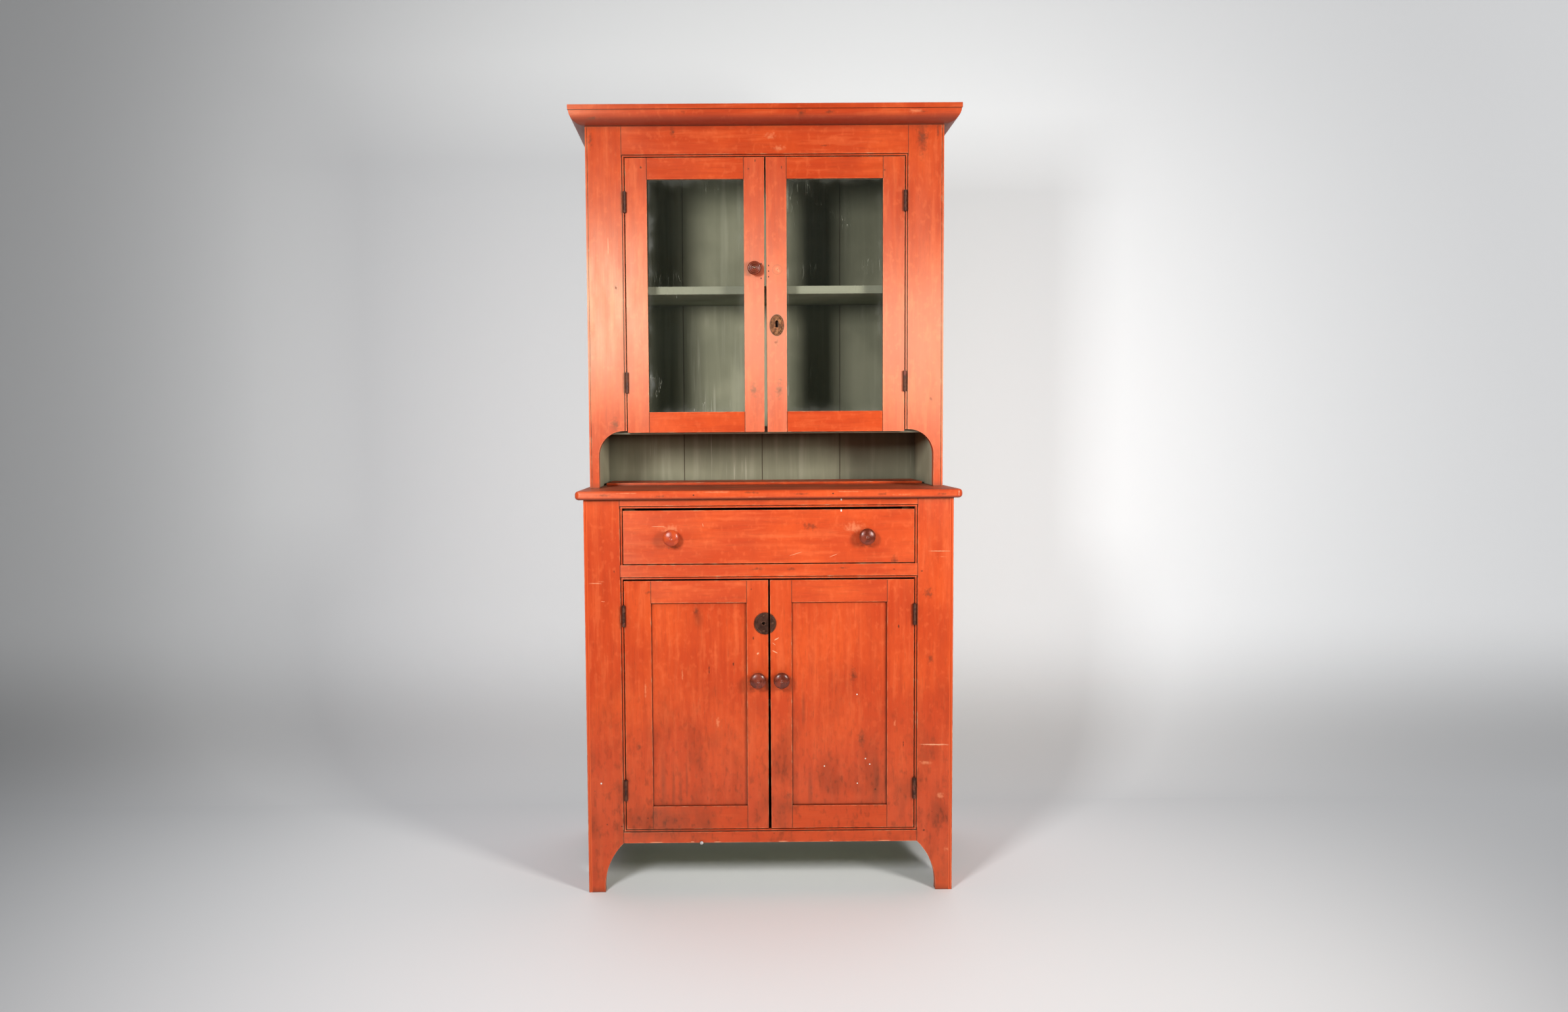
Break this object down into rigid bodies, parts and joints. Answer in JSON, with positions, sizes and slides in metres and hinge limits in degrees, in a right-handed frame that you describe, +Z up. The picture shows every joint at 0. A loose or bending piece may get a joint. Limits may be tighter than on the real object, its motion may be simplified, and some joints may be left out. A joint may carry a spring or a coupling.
{
  "type": "step back cupboard",
  "caption": "Painted step back cupboard: glazed upper case over a counter, with a drawer and panelled doors below, and doors, drawer and lock bolts that move",
  "frame": {"origin": "on the ground under the middle of the box round the whole part", "axes": "+X to the right along the front, +Y from the front to the back, +Z up; the front faces -Y"},
  "size_m": [1.074, 0.543, 2.141],
  "materials": {
    "red_orange_paint": "old brushed red-orange paint on pine, satin, worn to pale wood along the edges",
    "grey_green_paint": "flat grey-green interior paint, dusty",
    "bare_pine": "unpainted pine, dry and darkened",
    "turned_knob": "turned hardwood under rubbed paint",
    "window_glass": "old sheet glass, slightly wavy and dirty at the edges",
    "glazing_putty": "dry glazing putty",
    "hinge_iron": "cast iron under worn paint",
    "lock_iron": "dark sheet iron",
    "stamped_brass": "stamped brass with a roped border, paint in its hollows",
    "worn_plate": "thin round plate, rusted and rubbed"
  },
  "bodies": {
    "case": {"case_hinge_leaves": "hinge_iron", "cornice_front": "red_orange_paint", "cornice_returns": "red_orange_paint", "cornice_top_board": "red_orange_paint", "counter_board": "red_orange_paint", "drawer_runners": "bare_pine", "drawer_top_rail": "red_orange_paint", "frieze_rail": "red_orange_paint", "hinge_pins": "hinge_iron", "lower_back_boards": "grey_green_paint", "lower_bottom_rail": "red_orange_paint", "lower_floor_board": "grey_green_paint", "lower_shelf": "grey_green_paint", "lower_side_left": "red_orange_paint", "lower_side_right": "red_orange_paint", "lower_stile_left": "red_orange_paint", "lower_stile_right": "red_orange_paint", "mid_rail": "red_orange_paint", "rear_ledge": "red_orange_paint", "shelf_cleats": "grey_green_paint", "upper_back_boards": "grey_green_paint", "upper_floor_board": "grey_green_paint", "upper_shelf": "grey_green_paint", "upper_side_left": "red_orange_paint", "upper_side_right": "red_orange_paint", "upper_stile_left": "red_orange_paint", "upper_stile_right": "red_orange_paint"},
    "upper_left_door": {"upper_left_door_glass": "window_glass", "upper_left_door_hinge_leaves": "hinge_iron", "upper_left_door_knob": "turned_knob", "upper_left_door_putty": "glazing_putty", "upper_left_door_rails": "red_orange_paint", "upper_left_door_stiles": "red_orange_paint"},
    "upper_right_door": {"upper_right_door_glass": "window_glass", "upper_right_door_hinge_leaves": "hinge_iron", "upper_right_door_putty": "glazing_putty", "upper_right_door_rails": "red_orange_paint", "upper_right_door_stiles": "red_orange_paint", "upper_lock_escutcheon": "stamped_brass", "upper_lock_case": "lock_iron"},
    "upper_lock_bolt": {"upper_lock_bolt": "lock_iron"},
    "lower_left_door": {"lower_left_door_hinge_leaves": "hinge_iron", "lower_left_door_knob": "turned_knob", "lower_left_door_panel": "red_orange_paint", "lower_left_door_rails": "red_orange_paint", "lower_left_door_stiles": "red_orange_paint", "lower_lock_plate": "worn_plate", "lower_lock_case": "lock_iron"},
    "lower_right_door": {"lower_right_door_hinge_leaves": "hinge_iron", "lower_right_door_knob": "turned_knob", "lower_right_door_panel": "red_orange_paint", "lower_right_door_rails": "red_orange_paint", "lower_right_door_stiles": "red_orange_paint", "lower_lock_keeper": "worn_plate"},
    "lower_lock_bolt": {"lower_lock_bolt": "lock_iron"},
    "drawer": {"drawer_front": "red_orange_paint", "drawer_sides": "bare_pine", "drawer_back": "bare_pine", "drawer_bottom": "bare_pine", "drawer_knobs": "turned_knob"}
  },
  "joints": [
    {"name": "upper_left_door_hinge", "type": "hinge", "parent": "case", "child": "upper_left_door", "pos_m": [-0.3878, -0.0894, 1.639], "axis": [0, 0, -1], "range_deg": [0, 165]},
    {"name": "upper_right_door_hinge", "type": "hinge", "parent": "case", "child": "upper_right_door", "pos_m": [0.3878, -0.0894, 1.639], "axis": [0, 0, 1], "range_deg": [0, 165]},
    {"name": "lower_left_door_hinge", "type": "hinge", "parent": "case", "child": "lower_left_door", "pos_m": [-0.3908, -0.2434, 0.522], "axis": [0, 0, -1], "range_deg": [0, 165]},
    {"name": "lower_right_door_hinge", "type": "hinge", "parent": "case", "child": "lower_right_door", "pos_m": [0.3908, -0.2434, 0.522], "axis": [0, 0, 1], "range_deg": [0, 165]},
    {"name": "drawer_slide", "type": "slide", "parent": "case", "child": "drawer", "axis": [0, -1, 0], "range_m": [0, 0.36]},
    {"name": "upper_bolt_slide", "type": "slide", "parent": "upper_right_door", "child": "upper_lock_bolt", "axis": [-1, 0, 0], "range_m": [0, 0.012]},
    {"name": "lower_bolt_slide", "type": "slide", "parent": "lower_left_door", "child": "lower_lock_bolt", "axis": [1, 0, 0], "range_m": [0, 0.012]}
  ]
}
